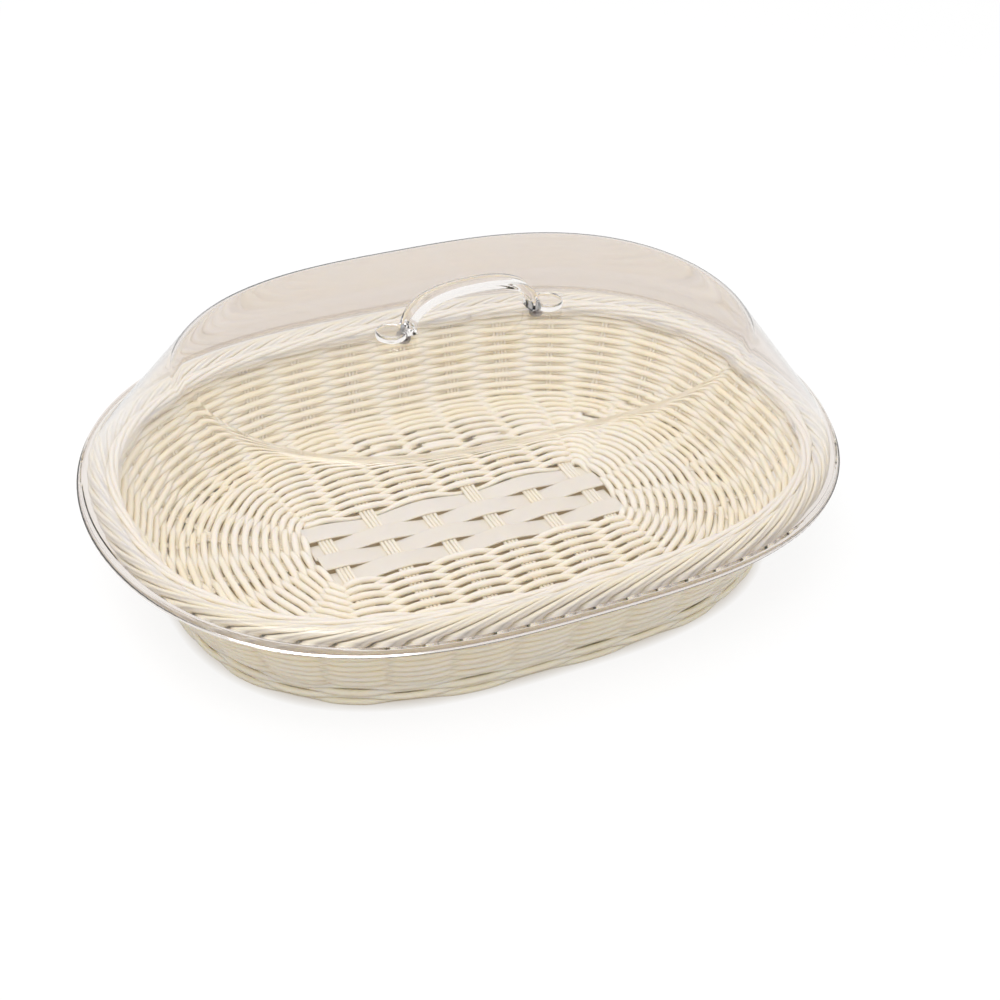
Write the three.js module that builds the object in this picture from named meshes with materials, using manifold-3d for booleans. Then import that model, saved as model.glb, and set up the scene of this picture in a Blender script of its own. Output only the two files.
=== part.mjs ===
// Food storage basket: an oval woven basket with a clear dome cover that lifts off by its handle.
// Millimetres, +Z up, origin on the floor under the centre, +X along the basket.
// The weave is plain solids here: each stake runs in its own channel through the woven floor and wall.
import * as THREE from 'three';
import { mergeVertices } from 'three/addons/utils/BufferGeometryUtils.js';
import Module from 'manifold-3d';

const wasm = await Module();
wasm.setup();

// Basket, overall
const footLength = 346;
const footWidth = 253;
const rimLength = 409;
const rimWidth = 300;
const basketHeight = 69;
const basketRoundness = [2.9, 2.3]; // 2 is an ellipse, more is squarer: at the ends, at the sides

// Woven floor and wall
const weaveThickness = 6.4;
const floorRaise = 6.8; // underside of the woven floor above the table
const bendReach = 8; // how far the bend from floor to wall reaches on each side of its corner
const wallInsetAtFoot = 5.5; // corner of floor and wall, inwards of the foot border's outer edge
const wallInsideRope = 1.1; // line of the wall at the rope's middle height, inwards of the rope's middle
const wallMeetsRope = 0.9; // share of the rope's half height, below its middle, at which the wall ends

// Rope that borders the rim, and the braid that the basket stands on
const ropeWidth = 15;
const ropeHeight = 14;
const footBraidHeight = 8.8;
const footBraidRound = 1.4;
const footBraidInset = 13.5; // inner edge of the braid, inwards of its outer edge

// Cross stakes, the four flat strips that lock them, and the stakes of the two ends
const stakeWidth = 9;
const stakeThickness = 2.2;
const stakePitch = 31.7;
const crossStakeCount = 6;
const rimSpread = 1.05; // the cross stakes stand this much wider apart at the rim than in the floor
const stripWidth = 11.5;
const stripThickness = 1.2;
const stripPitch = 13.4;
const stripCount = 4;
const stripOverhang = 10.35; // a strip ends this far past the middle of the last stake
const stripEase = 1.6; // a strip stays level this far past each edge of a stake
const endStakeCount = 5;
const fanHalfWidth = 31; // the end stakes begin on a bow past the strips' ends, this far to each side
const fanGap = 9.4; // from the strips' ends to the middle of the bow
const fanSetback = 9; // how far the bow's ends lie behind its middle
const halfOverlap = 0.1; // the two halves of an end stake share this much where they run together
const splitReach = 14; // an end stake parts this far before the edge of the floor
const stakeClearance = 0.3;

// Cover
const coverThickness = 2;
const coverRoundness = [3, 2];
const panelLength = 310.8; // between the creases
const panelWidth = 206.4;
const creaseHeight = 64.2; // crease of the panel above the rope's top
const panelCrown = 7;
const ledgeOverRopeAtSides = 2.8; // root of the ledge, inwards of the rope's outer edge
const ledgeOutsideRopeAtEnds = 0.7; // root of the ledge, outwards of the rope's outer edge
const skirtClearanceSides = 7.8; // outer face of the skirt from the rope's outer edge
const skirtClearanceEnds = 4;
const skirtHeight = 5.2;
const ledgeFall = 1.8; // the ledge falls this much from root to skirt
// How far each rounding of the cover reaches, as shares of the stretches that it joins
const creaseOnPanel = 0.045;
const creaseOnWall = 0.09;
const rootOnWall = 0.06;
const rootOnLedge = 0.4;
const edgeOnLedge = 0.3;
const edgeOnSkirt = 0.5;
const lipWidth = 1.4;
const lipHeight = 1.8;
const seatGap = 0.3; // between the rope's top and the underside of the cover

// Handle and its screws
const strapWidth = 9.5;
const strapThickness = 4.5;
const handleHalfSpan = 35.5; // middle of the strap at the legs
const handleRise = 21.6; // middle of the strap at the top, above the panel
const legLean = 1; // the legs bow outwards by this much
const archFullness = 0.55; // share of the half span over which the top stays level
const padDiameter = 16.5;
const padThickness = 4;
const padBeyondLeg = 9.5; // middle of the pad, outwards of the middle of the strap
const screwBeyondLeg = 2.7;
const screwShank = 3;
const screwHead = 7.4;
const screwHeadHeight = 2.4;
const screwDepth = 5.6; // reach of the shank into the handle
const screwClearance = 0.3;
const mateGap = 0.3;

// Fineness of the facets
const ovalSteps = 72;
const ropeSides = 10;
const archSteps = 14;
const flareEnd = 3; // step of the arch at which the flare over the pad has run out
const flareSteps = 4;
const panelRings = [0.3, 0.55, 0.8]; // shares of the panel at which its crown gets a ring
const discSteps = 24;
const grid = 0.02;
const small = 1e-4;

const weave = { color: 0xece0cc, roughness: 0.6 };
const flatStrip = { color: 0xefe8de, roughness: 0.55 };
const clearPlastic = { color: 0xe6ded8, roughness: 0.08, transparent: true, opacity: 0.35 };
const steel = { color: 0x8a8a88, roughness: 0.3, metalness: 1 };

// What follows from the sizes above
const floorMiddle = floorRaise + weaveThickness / 2;
const ropeMiddle = basketHeight - ropeHeight / 2;
const rope = { a: (rimLength - ropeWidth) / 2, b: (rimWidth - ropeWidth) / 2 };
const corner = { a: footLength / 2 - wallInsetAtFoot, b: footWidth / 2 - wallInsetAtFoot, z: floorMiddle };
const wallAtRope = { a: rope.a - wallInsideRope, b: rope.b - wallInsideRope, z: ropeMiddle };
const outerStake = ((crossStakeCount - 1) / 2) * stakePitch;
const stripHalfLength = outerStake + stripOverhang;
const fanStart = stripHalfLength + fanGap;
const padCentre = handleHalfSpan + padBeyondLeg;
const screwPlace = handleHalfSpan + screwBeyondLeg;

// The mesh work: lofts, and three.js geometries, become solids that can be joined and cut.
function solidOf(points, faces) {
  let volume = 0;
  const normal = new THREE.Vector3();
  for (const [i, j, k] of faces) {
    volume += normal.crossVectors(points[i], points[j]).dot(points[k]);
  }
  const out = volume < 0 ? faces.map(([i, j, k]) => [i, k, j]) : faces;
  return new wasm.Manifold(new wasm.Mesh({
    numProp: 3,
    vertProperties: new Float32Array(points.flatMap((p) => [p.x, p.y, p.z])),
    triVerts: new Uint32Array(out.flat()),
  }));
}

// Skins a row of rings. The row closes on itself, or ends in two poles.
function loft(rings, poles) {
  const count = rings[0].length;
  const points = rings.flat();
  const faces = [];
  const spans = poles ? rings.length - 1 : rings.length;
  for (let k = 0; k < spans; k++) {
    const here = k * count;
    const next = ((k + 1) % rings.length) * count;
    for (let i = 0; i < count; i++) {
      const j = (i + 1) % count;
      faces.push([here + i, here + j, next + j], [here + i, next + j, next + i]);
    }
  }
  if (poles) {
    const last = (rings.length - 1) * count;
    points.push(poles[0], poles[1]);
    for (let i = 0; i < count; i++) {
      const j = (i + 1) % count;
      faces.push([points.length - 2, j, i], [points.length - 1, last + i, last + j]);
    }
  }
  return solidOf(points, faces);
}

function solidFrom(geometry) {
  geometry.deleteAttribute('normal');
  geometry.deleteAttribute('uv');
  const merged = mergeVertices(geometry);
  return new wasm.Manifold(new wasm.Mesh({
    numProp: 3,
    vertProperties: new Float32Array(merged.attributes.position.array),
    triVerts: new Uint32Array(merged.index.array),
  }));
}

function upright(radius, low, high, x = 0) {
  const cylinder = new THREE.CylinderGeometry(radius, radius, high - low, discSteps);
  cylinder.rotateX(Math.PI / 2);
  cylinder.translate(x, 0, (low + high) / 2);
  return solidFrom(cylinder);
}

const basket = new THREE.Group();

// Puts a solid's corners on a fine grid, so that cuts leave no edges too short to make, and adds it.
function add(name, solid, finish) {
  const { vertProperties, triVerts } = solid.getMesh();
  const corners = new Map();
  const places = [];
  const welded = Array.from({ length: vertProperties.length / 3 }, (_, i) => {
    const place = [0, 1, 2].map((k) => Math.round(vertProperties[3 * i + k] / grid) * grid);
    const key = place.map((value) => value.toFixed(3)).join();
    if (!corners.has(key)) {
      corners.set(key, corners.size);
      places.push(...place);
    }
    return corners.get(key);
  });
  const faces = [];
  for (let i = 0; i < triVerts.length; i += 3) {
    const face = [0, 1, 2].map((k) => welded[triVerts[i + k]]);
    if (new Set(face).size === 3) {
      faces.push(...face);
    }
  }
  const geometry = new THREE.BufferGeometry();
  geometry.setAttribute('position', new THREE.Float32BufferAttribute(places, 3));
  geometry.setIndex(faces);
  geometry.computeVertexNormals();
  const mesh = new THREE.Mesh(geometry, new THREE.MeshStandardMaterial(finish));
  mesh.name = name;
  basket.add(mesh);
}

// Ovals
function ovalPoint(a, b, z, roundness, angle) {
  const c = Math.cos(angle);
  const s = Math.sin(angle);
  const x = a * Math.sign(c) * Math.abs(c) ** (2 / roundness[0]);
  const y = b * Math.sign(s) * Math.abs(s) ** (2 / roundness[1]);
  return new THREE.Vector3(x, y, z);
}

// Angles between from and to that cut an oval into stretches of equal length.
function evenAngles(a, b, roundness, count, from, to) {
  const fine = 4000;
  const lengths = [0];
  let before = ovalPoint(a, b, 0, roundness, from);
  for (let i = 1; i <= fine; i++) {
    const here = ovalPoint(a, b, 0, roundness, from + ((to - from) * i) / fine);
    lengths.push(lengths[i - 1] + here.distanceTo(before));
    before = here;
  }
  const angles = [];
  let i = 0;
  for (let k = 0; k <= count; k++) {
    const wanted = (lengths[fine] * k) / count;
    while (i < fine && lengths[i] < wanted - small) {
      i++;
    }
    angles.push(from + ((to - from) * i) / fine);
  }
  return angles;
}

function around(a, b, roundness) {
  const quarter = evenAngles(a, b, roundness, ovalSteps / 4, 0, Math.PI / 2);
  const back = quarter.map((angle) => Math.PI / 2 - angle).reverse();
  return [quarter, back, quarter, back].flatMap((angles, q) => (
    angles.slice(0, -1).map((angle) => angle + (q * Math.PI) / 2)
  ));
}

function between(p, q, share) {
  return { a: p.a + (q.a - p.a) * share, b: p.b + (q.b - p.b) * share, z: p.z + (q.z - p.z) * share };
}

function bend(start, middle, end, share) {
  return between(between(start, middle, share), between(middle, end, share), share);
}

// Middle surface of the woven wall: 0 to 1 is the bend out of the floor, 1 to 2 the straight wall.
const wallTopHeight = ropeMiddle - (wallMeetsRope * ropeHeight) / 2 - mateGap;
const wallTopShare = (wallTopHeight - corner.z) / (wallAtRope.z - corner.z);
const wallTop = between(corner, wallAtRope, wallTopShare);
const bendStart = { a: corner.a - bendReach, b: corner.b - bendReach, z: corner.z };
const bendEnd = between(corner, wallTop, bendReach / (wallTop.z - corner.z));

function wallLine(t) {
  return t < 1 ? bend(bendStart, corner, bendEnd, t) : between(bendEnd, wallTop, t - 1);
}

function wallPoint(angle, t, outwards = 0) {
  const at = (u, v) => {
    const line = wallLine(v);
    return ovalPoint(line.a, line.b, line.z, basketRoundness, u);
  };
  const along = at(angle + small, t).sub(at(angle - small, t));
  const up = at(angle, Math.min(t + small, 2)).sub(at(angle, Math.max(t - small, 0)));
  const normal = t === 0 ? new THREE.Vector3(0, 0, -1) : along.cross(up).normalize();
  return { place: at(angle, t).addScaledVector(normal, outwards), normal };
}

const basketAngles = around(wallAtRope.a, wallAtRope.b, basketRoundness);
const wallStations = [0, 0.25, 0.5, 0.75, 1, 2];

// A flat strap whose middle follows stations of a place and the normal of the weave there.
function strap(stations, width, thickness) {
  const rings = stations.map(({ place, normal }, i) => {
    const before = stations[Math.max(i - 1, 0)].place;
    const after = stations[Math.min(i + 1, stations.length - 1)].place;
    const side = normal.clone().cross(after.clone().sub(before)).normalize();
    return [[1, 1], [1, -1], [-1, -1], [-1, 1]].map(([across, through]) => place.clone()
      .addScaledVector(side, (across * width) / 2)
      .addScaledVector(normal, (through * thickness) / 2));
  });
  return loft(rings, [stations[0].place, stations[stations.length - 1].place]);
}

// The channel for a strap: the same path, wider by the clearance and longer at the ends that stay open.
function channel(stations, width, thickness, openStart) {
  const reach = (end, inner, by) => ({
    place: end.place.clone().addScaledVector(end.place.clone().sub(inner.place).normalize(), by),
    normal: end.normal,
  });
  const last = stations.length - 1;
  const longer = [
    reach(stations[0], stations[1], openStart ? bendReach : stakeClearance),
    ...stations,
    reach(stations[last], stations[last - 1], bendReach),
  ];
  return strap(longer, width + 2 * stakeClearance, thickness + 2 * stakeClearance);
}

// Cross stakes: up one wall, across the floor and up the other wall in one piece
function angleAtX(x, a) {
  return Math.acos(Math.sign(x) * Math.abs(x / a) ** (basketRoundness[0] / 2));
}

function climb(footAngle, rimAngle) {
  return wallStations.map((t) => wallPoint(footAngle + ((rimAngle - footAngle) * t) / 2, t));
}

const stakes = [];
const stakePlaces = [];
for (let i = 0; i < crossStakeCount; i++) {
  const x = (i - (crossStakeCount - 1) / 2) * stakePitch;
  const foot = angleAtX(x, bendStart.a);
  const rim = angleAtX(x * rimSpread, wallTop.a);
  const near = climb(-foot, -rim).reverse();
  const stations = [...near, ...climb(foot, rim)];
  stakePlaces.push(x);
  stakes.push({
    name: `cross_stake_${i + 1}`,
    solid: strap(stations, stakeWidth, stakeThickness),
    slot: channel(stations, stakeWidth, stakeThickness, true),
  });
}

// End stakes: out from the middle of the floor, then parted in two halves that climb the wall
const legCount = 2 * endStakeCount;
const footFan = evenAngles(
  bendStart.a, bendStart.b, basketRoundness, legCount + 1,
  -angleAtX(outerStake, bendStart.a), angleAtX(outerStake, bendStart.a),
);
const rimFan = evenAngles(
  wallTop.a, wallTop.b, basketRoundness, legCount + 1,
  -angleAtX(outerStake * rimSpread, wallTop.a), angleAtX(outerStake * rimSpread, wallTop.a),
);
const level = new THREE.Vector3(0, 0, -1);
for (const [end, turn] of [['right', 1], ['left', -1]]) {
  const facing = (angle) => (turn > 0 ? angle : Math.PI - angle);
  for (let i = 0; i < endStakeCount; i++) {
    const share = (2 * i) / (endStakeCount - 1) - 1;
    const startX = turn * (fanStart - fanSetback * share ** 2);
    const start = new THREE.Vector3(startX, share * fanHalfWidth, floorMiddle);
    const legs = [2 * i + 1, 2 * i + 2];
    const edge = wallPoint(facing((footFan[legs[0]] + footFan[legs[1]]) / 2), 0).place;
    const outwards = edge.clone().sub(start).normalize();
    const split = edge.clone().addScaledVector(outwards, -splitReach);
    const across = outwards.clone().cross(level).multiplyScalar((turn * stakeWidth) / 4);
    const halves = legs.map((leg, k) => {
      const off = k === 0 ? -1 : 1;
      const run = [start, split].map((p) => (
        { place: p.clone().addScaledVector(across, off), normal: level }
      ));
      return [...run, ...climb(facing(footFan[leg]), facing(rimFan[leg]))];
    });
    const halfWidth = stakeWidth / 2 + halfOverlap;
    stakes.push({
      name: `end_stake_${end}_${i + 1}`,
      solid: halves.map((h) => strap(h, halfWidth, stakeThickness)).reduce((a, b) => a.add(b)),
      slot: halves.map((h) => channel(h, halfWidth, stakeThickness, false)).reduce((a, b) => a.add(b)),
    });
  }
}
stakes.sort((a, b) => a.name.localeCompare(b.name));
stakes.forEach(({ name, solid }) => add(name, solid, weave));
const slots = stakes.map(({ slot }) => slot).reduce((a, b) => a.add(b));

// Flat strips: four lengths that pass over and under the cross stakes in turn
const slack = Math.SQRT1_2; // level of a strip, between +1 and -1, a quarter of the way from stake to stake
const stripLift = (stakeThickness + stripThickness) / 2 + stakeClearance;
const flatReach = stakeWidth / 2 + stripEase;
for (let row = 0; row < stripCount; row++) {
  const y = ((stripCount - 1) / 2 - row) * stripPitch;
  const side = (i) => ((i + row) % 2 === 0 ? 1 : -1);
  const marks = [[-stripHalfLength, side(0)]];
  stakePlaces.forEach((x, i) => {
    marks.push([x - flatReach, side(i)], [x + flatReach, side(i)]);
    if (i < crossStakeCount - 1) {
      const gap = stakePitch - 2 * flatReach;
      marks.push([x + flatReach + gap / 4, side(i) * slack]);
      marks.push([x + flatReach + (gap * 3) / 4, -side(i) * slack]);
    }
  });
  marks.push([stripHalfLength, side(crossStakeCount - 1)]);
  const stations = marks.map(([x, level]) => ({
    place: new THREE.Vector3(x, y, floorMiddle + level * stripLift),
    normal: new THREE.Vector3(0, 0, 1),
  }));
  add(`base_strip_${row + 1}`, strap(stations, stripWidth, stripThickness), flatStrip);
}

// Woven floor: an oval plate round the window of strips
const floorShape = new THREE.Shape(basketAngles.map((angle) => {
  const p = ovalPoint(bendStart.a - mateGap, bendStart.b - mateGap, 0, basketRoundness, angle);
  return new THREE.Vector2(p.x, p.y);
}));
const windowX = stripHalfLength + mateGap;
const windowY = ((stripCount - 1) * stripPitch + stripWidth) / 2 + stripPitch - stripWidth;
floorShape.holes.push(new THREE.Path([
  new THREE.Vector2(-windowX, -windowY),
  new THREE.Vector2(-windowX, windowY),
  new THREE.Vector2(windowX, windowY),
  new THREE.Vector2(windowX, -windowY),
]));
const floorPlate = new THREE.ExtrudeGeometry(floorShape, { depth: weaveThickness, bevelEnabled: false });
floorPlate.translate(0, 0, floorRaise);
add('base_weave', solidFrom(floorPlate).subtract(slots), weave);

// Woven wall: the bend out of the floor and the flared wall up to the rope
const wallShell = loft(basketAngles.map((angle) => [
  ...wallStations.map((t) => wallPoint(angle, t, weaveThickness / 2).place),
  ...wallStations.map((t) => wallPoint(angle, t, -weaveThickness / 2).place).reverse(),
]));
add('wall_weave', wallShell.subtract(slots), weave);

// Rope border of the rim
const ropeRing = basketAngles.map((angle) => {
  const step = ovalPoint(rope.a, rope.b, ropeMiddle, basketRoundness, angle + small)
    .sub(ovalPoint(rope.a, rope.b, ropeMiddle, basketRoundness, angle - small));
  const outwards = step.cross(new THREE.Vector3(0, 0, 1)).normalize();
  return Array.from({ length: ropeSides }, (_, k) => {
    const turn = (2 * Math.PI * k) / ropeSides;
    const p = ovalPoint(rope.a, rope.b, ropeMiddle, basketRoundness, angle);
    p.addScaledVector(outwards, (Math.cos(turn) * ropeWidth) / 2);
    p.z += (Math.sin(turn) * ropeHeight) / 2;
    return p;
  });
});
add('rim_border', loft(ropeRing), weave);

// Foot braid: flat under, and hollowed on top to the bend of the wall
const footRing = basketAngles.map((angle) => {
  const at = (inset, z) => (
    ovalPoint(footLength / 2 - inset, footWidth / 2 - inset, z, basketRoundness, angle)
  );
  const under = [0.5, 0.25, 0].map((t) => wallPoint(angle, t, weaveThickness / 2 + mateGap).place);
  return [
    at(footBraidInset, 0),
    at(footBraidRound, 0),
    at(0, footBraidHeight * 0.3),
    at(0, footBraidHeight * 0.7),
    at(footBraidRound, footBraidHeight),
    ...under,
  ];
});
add('foot_border', loft(footRing), weave);

// Cover: crowned panel, rounded crease, sloping wall, ledge and short skirt in one clear moulding
const rootFromRopeMiddle = 1 - ledgeOverRopeAtSides / (ropeWidth / 2);
const ropeTopAtRoot = ropeMiddle + (ropeHeight / 2) * Math.sqrt(1 - rootFromRopeMiddle ** 2);
const crease = { a: panelLength / 2, b: panelWidth / 2, z: basketHeight + creaseHeight };
const root = {
  a: rimLength / 2 + ledgeOutsideRopeAtEnds,
  b: rimWidth / 2 - ledgeOverRopeAtSides,
  z: ropeTopAtRoot + seatGap + coverThickness,
};
const ledge = {
  a: rimLength / 2 + skirtClearanceEnds,
  b: rimWidth / 2 + skirtClearanceSides,
  z: root.z - ledgeFall,
};
const lipTop = { a: ledge.a, b: ledge.b, z: ledge.z - skirtHeight + lipHeight };
const panelTop = crease.z + panelCrown;
const onPanel = (share) => ({
  a: crease.a * share,
  b: crease.b * share,
  z: panelTop - panelCrown * share ** 2,
});
const rounded = (start, middle, end, steps) => (
  Array.from({ length: steps + 1 }, (_, i) => bend(start, middle, end, i / steps))
);
const coverLine = [
  ...panelRings.map(onPanel),
  ...rounded(onPanel(1 - creaseOnPanel), crease, between(crease, root, creaseOnWall), 3),
  ...rounded(between(root, crease, rootOnWall), root, between(root, ledge, rootOnLedge), 2),
  ...rounded(between(ledge, root, edgeOnLedge), ledge, between(ledge, lipTop, edgeOnSkirt), 2),
  lipTop,
];
const coverAngles = around(ledge.a, ledge.b, coverRoundness);

function coverPoint(angle, k, inwards) {
  const at = (u, line) => ovalPoint(line.a, line.b, line.z, coverRoundness, u);
  const along = at(angle + small, coverLine[k]).sub(at(angle - small, coverLine[k]));
  const after = coverLine[Math.min(k + 1, coverLine.length - 1)];
  const down = at(angle, after).sub(at(angle, coverLine[Math.max(k - 1, 0)]));
  if (k === coverLine.length - 1) {
    down.set(0, 0, -1); // the skirt is upright at the lip
  }
  return at(angle, coverLine[k]).addScaledVector(along.cross(down).normalize(), inwards);
}

const coverRing = (k, inwards) => coverAngles.map((angle) => coverPoint(angle, k, inwards));
const lowered = (ring) => ring.map((p) => new THREE.Vector3(p.x, p.y, p.z - lipHeight));
const lastRing = coverLine.length - 1;
const outerFace = coverLine.map((_, k) => coverRing(k, 0));
const lipEdge = coverRing(lastRing, -lipWidth);
const innerFace = coverLine.map((_, k) => coverRing(k, coverThickness)).reverse();
const coverShell = loft(
  [...outerFace, lipEdge, lowered(lipEdge), lowered(innerFace[0]), ...innerFace],
  [new THREE.Vector3(0, 0, panelTop), new THREE.Vector3(0, 0, panelTop - coverThickness)],
);
const screwHole = screwShank / 2 + screwClearance;
const screwHoles = [-1, 1].map((side) => (
  upright(screwHole, crease.z, panelTop + mateGap, side * screwPlace)
));
add('cover_dome', coverShell.subtract(screwHoles[0]).subtract(screwHoles[1]), clearPlastic);

// Handle: a flat strap bent to an arch, with a round pad at each foot
const padFloor = onPanel((handleHalfSpan - strapThickness) / crease.a).z + mateGap;
const strapTop = panelTop + handleRise;
const arch = new THREE.CubicBezierCurve(
  new THREE.Vector2(-handleHalfSpan, padFloor + padThickness),
  new THREE.Vector2(-handleHalfSpan - legLean, strapTop - strapThickness),
  new THREE.Vector2(-handleHalfSpan * archFullness, strapTop),
  new THREE.Vector2(0, strapTop),
);
const halfArch = arch.getPoints(archSteps).map((p, i) => {
  const tangent = arch.getTangent(i / archSteps);
  const normal = new THREE.Vector2(-tangent.y, tangent.x).multiplyScalar(strapThickness / 2);
  return { out: p.clone().add(normal), into: p.clone().sub(normal) };
});
const mirrored = (p) => new THREE.Vector2(-p.x, p.y);
const outside = halfArch.map(({ out }) => out).slice(flareEnd);
const inside = halfArch.map(({ into }) => into);
const flare = new THREE.QuadraticBezierCurve(
  new THREE.Vector2(-padCentre, padFloor + padThickness),
  new THREE.Vector2(-handleHalfSpan - strapThickness / 2 - legLean, padFloor + padThickness),
  outside[0],
).getPoints(flareSteps).slice(0, -1);
const leftOutside = [new THREE.Vector2(-padCentre, padFloor), ...flare, ...outside];
const leftInside = [new THREE.Vector2(-handleHalfSpan + strapThickness / 2, padFloor), ...inside];
const handleShape = new THREE.Shape([
  ...leftOutside,
  ...leftOutside.slice(0, -1).map(mirrored).reverse(),
  ...leftInside.map(mirrored),
  ...leftInside.slice(0, -1).reverse(),
]);
const strapSolid = new THREE.ExtrudeGeometry(handleShape, { depth: strapWidth, bevelEnabled: false });
strapSolid.translate(0, 0, -strapWidth / 2);
strapSolid.rotateX(Math.PI / 2);
let handle = solidFrom(strapSolid);
for (const side of [-1, 1]) {
  const pad = upright(padDiameter / 2, padFloor, padFloor + padThickness, side * padCentre);
  const holeEnd = padFloor + screwDepth + screwClearance;
  const hole = upright(screwHole, padFloor - mateGap, holeEnd, side * screwPlace);
  handle = handle.add(pad).subtract(hole);
}
add('handle', handle, clearPlastic);

// Screws: pan heads under the panel, shanks up through it into the handle
const headTop = onPanel((screwPlace + screwHead / 2) / crease.a).z - coverThickness - mateGap;
const headRound = 0.8;
const screwProfile = [
  [0, headTop - screwHeadHeight],
  [screwHead / 2 - headRound, headTop - screwHeadHeight],
  [screwHead / 2, headTop - screwHeadHeight + headRound],
  [screwHead / 2, headTop],
  [screwShank / 2, headTop],
  [screwShank / 2, padFloor + screwDepth],
  [0, padFloor + screwDepth],
].map(([r, z]) => new THREE.Vector2(r, z));
for (const [name, side] of [['handle_screw_left', -1], ['handle_screw_right', 1]]) {
  const screw = new THREE.LatheGeometry(screwProfile, discSteps);
  screw.rotateX(Math.PI / 2);
  screw.translate(side * screwPlace, 0, 0);
  add(name, solidFrom(screw), steel);
}

export default basket;
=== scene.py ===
# %% [markdown]
# # A woven food basket under a clear cover
# The real object is an oval basket of pale cane, round a window of flat strips, with a clear moulded cover
# that lifts off by a strap handle. Each strand is a tube that runs over and under its neighbours, because a
# weave seen this close is its strands, and a bump pattern on a smooth wall would show no holes between them.

# %% Load the frame
import random
from math import acos, atan2, cos, pi, radians, sin

import bmesh
import bpy
from mathutils import Matrix, Vector, noise


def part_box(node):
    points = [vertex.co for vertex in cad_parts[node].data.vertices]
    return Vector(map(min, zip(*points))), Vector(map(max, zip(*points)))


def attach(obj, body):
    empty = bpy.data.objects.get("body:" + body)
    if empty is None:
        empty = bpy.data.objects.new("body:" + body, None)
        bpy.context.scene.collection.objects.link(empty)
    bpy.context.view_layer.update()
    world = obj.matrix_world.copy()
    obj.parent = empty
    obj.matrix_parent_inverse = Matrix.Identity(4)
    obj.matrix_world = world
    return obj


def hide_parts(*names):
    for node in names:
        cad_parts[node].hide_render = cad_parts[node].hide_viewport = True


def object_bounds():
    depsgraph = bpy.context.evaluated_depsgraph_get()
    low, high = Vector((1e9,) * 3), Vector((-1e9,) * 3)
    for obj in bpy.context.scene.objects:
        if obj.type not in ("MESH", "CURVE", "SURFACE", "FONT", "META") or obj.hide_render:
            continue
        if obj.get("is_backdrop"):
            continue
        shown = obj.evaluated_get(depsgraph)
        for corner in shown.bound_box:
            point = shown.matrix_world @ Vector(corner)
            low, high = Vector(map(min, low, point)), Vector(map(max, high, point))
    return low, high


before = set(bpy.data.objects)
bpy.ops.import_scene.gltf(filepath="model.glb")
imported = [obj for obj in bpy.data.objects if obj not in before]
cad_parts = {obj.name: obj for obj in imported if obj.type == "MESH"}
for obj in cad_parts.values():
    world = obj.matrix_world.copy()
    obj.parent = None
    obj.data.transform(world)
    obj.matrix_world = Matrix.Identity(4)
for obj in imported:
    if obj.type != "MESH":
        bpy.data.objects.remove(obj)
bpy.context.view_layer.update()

# %% [markdown]
# ## Camera
# The photograph looks down on the basket from the front left, with a long lens and the horizon slightly
# tilted. The camera is built from those angles: three axes from turn, height and roll, and a distance.

# %% Camera
MM = 0.001
IMAGE = 1000
FOCAL = 1667.1
SENSOR = 36


def aimed_camera(turn, height, roll, distance, target):
    back = Vector((sin(turn) * cos(height), -cos(turn) * cos(height), sin(height)))
    right = (-back).cross(Vector((0, 0, 1))).normalized()
    up = right.cross(-back)
    tilted_right = right * cos(roll) + up * sin(roll)
    tilted_up = up * cos(roll) - right * sin(roll)
    place = Vector(target) + back * distance
    axes = Matrix((tilted_right, tilted_up, back)).transposed().to_4x4()
    made = bpy.data.objects.new("camera", bpy.data.cameras.new("camera"))
    made.data.lens = FOCAL * SENSOR / IMAGE
    made.data.sensor_width = SENSOR
    made.matrix_world = Matrix.Translation(place) @ axes
    bpy.context.scene.collection.objects.link(made)
    return made


camera = aimed_camera(radians(-27.28), radians(35.25), radians(2.57), 982.5 * MM,
                      (34.49 * MM, 24.46 * MM, 0))
bpy.context.scene.camera = camera
print("camera at", camera.location[:], "lens", camera.data.lens)

# %% [markdown]
# ## Shader maths
# A finish is a small graph of nodes. Writing each Math node by hand is slow to read, so a socket is wrapped
# in a class whose operators add the nodes, and a finish has one method for every other node.

# %% Shader expressions


class Value:
    """A number that varies over a surface. Its operators add Math nodes."""

    def __init__(self, finish, socket):
        self.finish = finish
        self.socket = socket

    def maths(self, operation, first, second):
        made = self.finish.node("Math", {"operation": operation}, {0: first, 1: second})
        return Value(self.finish, made.outputs[0])

    def __add__(self, other):
        return self.maths("ADD", self, other)

    def __sub__(self, other):
        return self.maths("SUBTRACT", self, other)

    def __rsub__(self, other):
        return self.maths("SUBTRACT", other, self)

    def __mul__(self, other):
        return self.maths("MULTIPLY", self, other)

    def __truediv__(self, other):
        return self.maths("DIVIDE", self, other)

    def __rtruediv__(self, other):
        return self.maths("DIVIDE", other, self)

    def __pow__(self, other):
        return self.maths("POWER", self, other)

    def __rpow__(self, other):
        return self.maths("POWER", other, self)

    def at_most(self, other):
        return self.maths("MINIMUM", self, other)

    def at_least(self, other):
        return self.maths("MAXIMUM", self, other)

    __radd__ = __add__
    __rmul__ = __mul__


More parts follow.
